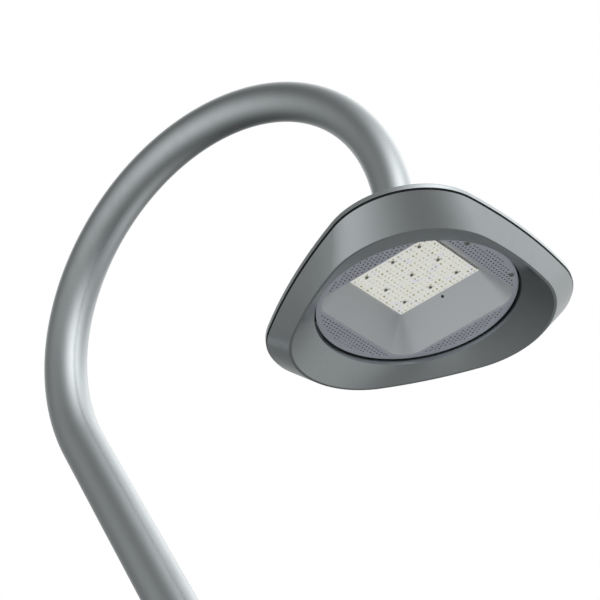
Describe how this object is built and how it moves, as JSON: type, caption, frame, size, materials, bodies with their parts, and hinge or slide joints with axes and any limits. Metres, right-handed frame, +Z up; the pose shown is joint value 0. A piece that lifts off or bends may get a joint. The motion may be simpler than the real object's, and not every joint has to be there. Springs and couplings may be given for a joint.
{
  "type": "street lamp post",
  "caption": "Swan-neck street lamp post: conical tube bent into a crook, with a three-lobed LED head hanging from it, on a flanged base with a service door.",
  "frame": {"origin": "on the ground under the base plate, on the axis of the vertical mast", "axes": "+Z up along the mast, +X towards the street, the side the head hangs on; the crook lies in the XZ plane"},
  "size_m": [0.8827, 0.453, 3.9999],
  "materials": {
    "post_paint": "satin metallic silver-grey powder coat over galvanised steel",
    "head_paint": "satin silver-grey paint on cast aluminium",
    "plate_paint": "satin grey paint on perforated sheet",
    "tray_paint": "satin light grey paint",
    "seal_rubber": "matt black EPDM",
    "lens_plastic": "clear moulded lenses over a white board",
    "chip": "yellow phosphor chips",
    "board": "white solder mask",
    "steel": "stainless steel",
    "zinc": "zinc-plated steel",
    "sink": "plain extruded aluminium",
    "housing_white": "moulded plastic",
    "housing_grey": "moulded plastic",
    "terminal": "moulded plastic",
    "cable": "matt cable sheath"
  },
  "bodies": {
    "post": {"base_plate": "post_paint", "base_section": "post_paint", "base_gussets": "post_paint", "shoulder_ring": "post_paint", "mast_shaft": "post_paint", "joint_sleeve": "zinc", "joint_ring": "seal_rubber", "crook_neck": "post_paint", "neck_set_screws": "steel", "tip_grommet": "seal_rubber", "door_seal": "seal_rubber", "mast_knuckles": "post_paint", "door_hinge_pins": "steel", "gear_board": "housing_grey", "board_brackets": "zinc", "fuse_box": "housing_grey", "fuse_box_cover": "housing_grey", "fuse_holder": "housing_grey", "mast_terminals": "terminal", "cable_gland": "housing_grey", "earth_stud": "zinc", "supply_cable": "cable", "head_cover": "head_paint", "cover_gasket": "seal_rubber", "shroud": "head_paint", "cover_screws": "steel", "head_set_screws": "steel", "terminal_plate": "zinc", "head_terminals": "terminal", "driver": "housing_white", "surge_protector": "housing_white", "tray_hinge_bracket": "zinc", "tray_hinge_pin": "steel"},
    "service_door": {"service_door": "post_paint", "door_knuckles": "post_paint", "lock_barrel": "steel"},
    "door_lock": {"lock_cam": "steel"},
    "optic_tray": {"perforated_plate": "plate_paint", "recess_tray": "tray_paint", "tray_hinge_leaf": "plate_paint", "heat_sink": "sink", "led_board": "board", "led_chips": "chip", "lens_gasket": "seal_rubber", "lens_plate": "lens_plastic", "lens_screws": "steel", "vent_plug": "seal_rubber"},
    "fastener_left": {"turn_fastener_left": "steel"},
    "fastener_right": {"turn_fastener_right": "steel"}
  },
  "joints": [
    {"name": "door_swing", "type": "hinge", "parent": "post", "child": "service_door", "pos_m": [-0.0201, 0.06302, 0.7], "axis": [0, 0, -1], "range_deg": [0, 110]},
    {"name": "lock_turn", "type": "hinge", "parent": "service_door", "child": "door_lock", "pos_m": [-0.05108, -0.03451, 0.7], "axis": [0.8286, 0.5598, 0], "range_deg": [0, 90]},
    {"name": "tray_drop", "type": "hinge", "parent": "post", "child": "optic_tray", "pos_m": [0.323, 0, 3.4436], "axis": [0, 1, 0], "range_deg": [0, 22]},
    {"name": "fastener_left_turn", "type": "hinge", "parent": "optic_tray", "child": "fastener_left", "pos_m": [0.58707, 0.05613, 3.4315], "axis": [0, 0, -1], "range_deg": [0, 90]},
    {"name": "fastener_right_turn", "type": "hinge", "parent": "optic_tray", "child": "fastener_right", "pos_m": [0.58707, -0.05613, 3.4315], "axis": [0, 0, -1], "range_deg": [0, 90]}
  ]
}
